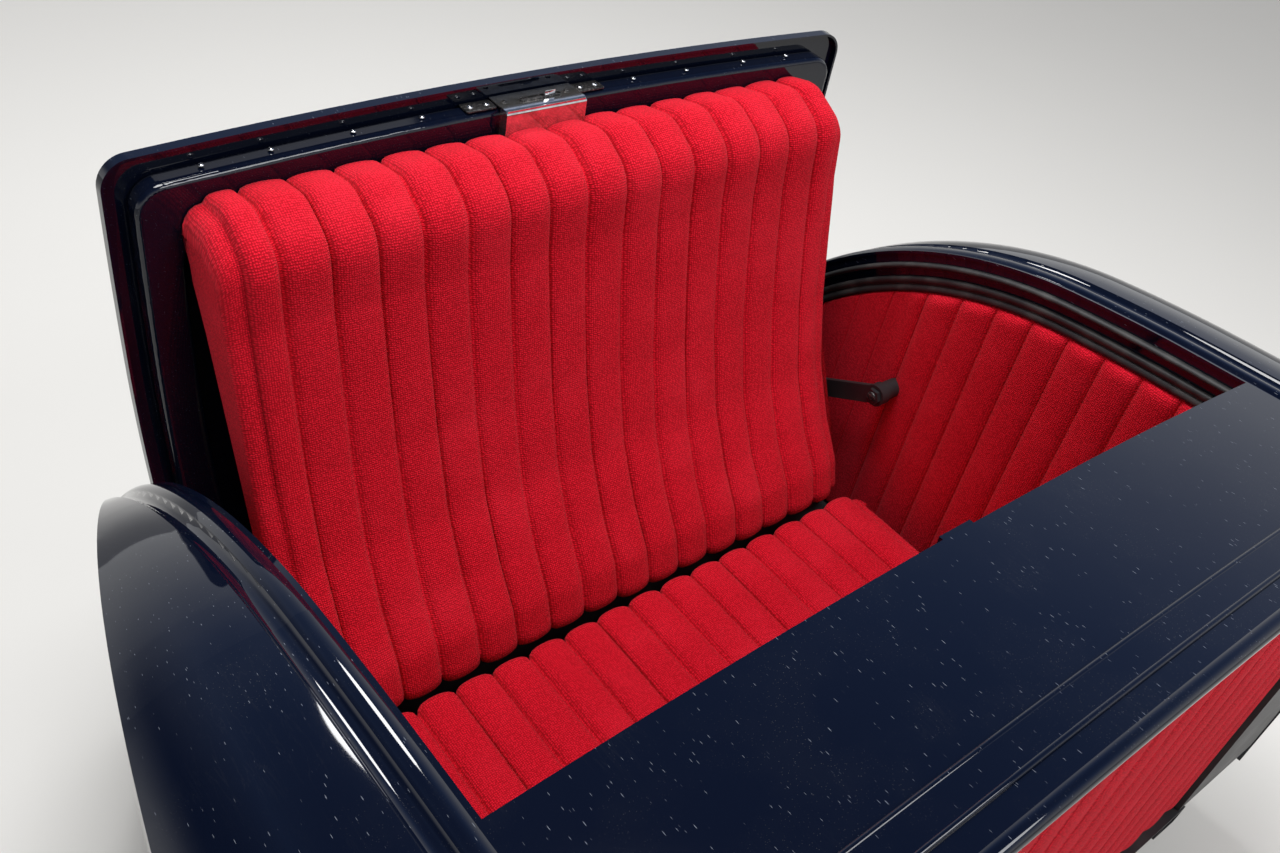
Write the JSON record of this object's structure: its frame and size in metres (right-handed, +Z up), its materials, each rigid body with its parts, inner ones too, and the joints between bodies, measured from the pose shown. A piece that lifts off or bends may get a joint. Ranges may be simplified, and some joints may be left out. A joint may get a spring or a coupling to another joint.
{
  "type": "rumble seat body section",
  "caption": "Rear body section of an open two-seat roadster with a cloth-trimmed rumble seat under a hinged rear lid.",
  "frame": {"origin": "centre of the four body bolts, on the underside of the sills", "axes": "+X to the car's left, +Y to the car's rear, +Z up"},
  "size_m": [1.459, 0.9984, 0.8937],
  "materials": {
    "body_paint": "gloss",
    "rubber": "satin",
    "red_cloth": "woven",
    "chassis_black": "satin",
    "bright_metal": "polished",
    "plywood": "matte"
  },
  "bodies": {
    "body_section": {"cockpit_panel": "red_cloth", "cross_member_front": "chassis_black", "cross_member_rear": "chassis_black", "deck_header": "chassis_black", "deck_panel": "body_paint", "door_pillar_left": "chassis_black", "door_pillar_right": "chassis_black", "footwell_pan": "chassis_black", "hinge_bracket_left": "chassis_black", "hinge_bracket_right": "chassis_black", "latch_striker": "bright_metal", "opening_flange_left": "body_paint", "opening_flange_right": "body_paint", "quarter_panel_left": "body_paint", "quarter_panel_right": "body_paint", "rear_floor": "chassis_black", "seat_cushion": "red_cloth", "seat_riser": "chassis_black", "side_trim_left": "red_cloth", "side_trim_right": "red_cloth", "sill_left": "chassis_black", "sill_right": "chassis_black", "tail_panel": "body_paint", "trim_strip_left": "rubber", "trim_strip_right": "rubber", "weatherstrip_left": "rubber", "weatherstrip_right": "rubber", "wheel_house_left": "chassis_black", "wheel_house_right": "chassis_black"},
    "rumble_lid": {"backrest_board": "plywood", "backrest_rail_left": "chassis_black", "backrest_rail_right": "chassis_black", "hinge_arm_left": "chassis_black", "hinge_arm_right": "chassis_black", "latch_box": "bright_metal", "lid_handle": "bright_metal", "lid_inner_frame": "body_paint", "lid_skin": "body_paint", "seat_back": "red_cloth"}
  },
  "joints": [
    {"name": "lid_hinge", "type": "hinge", "parent": "body_section", "child": "rumble_lid", "pos_m": [0, 0.223, 0.324], "axis": [1, 0, 0], "range_deg": [0, 86]}
  ]
}
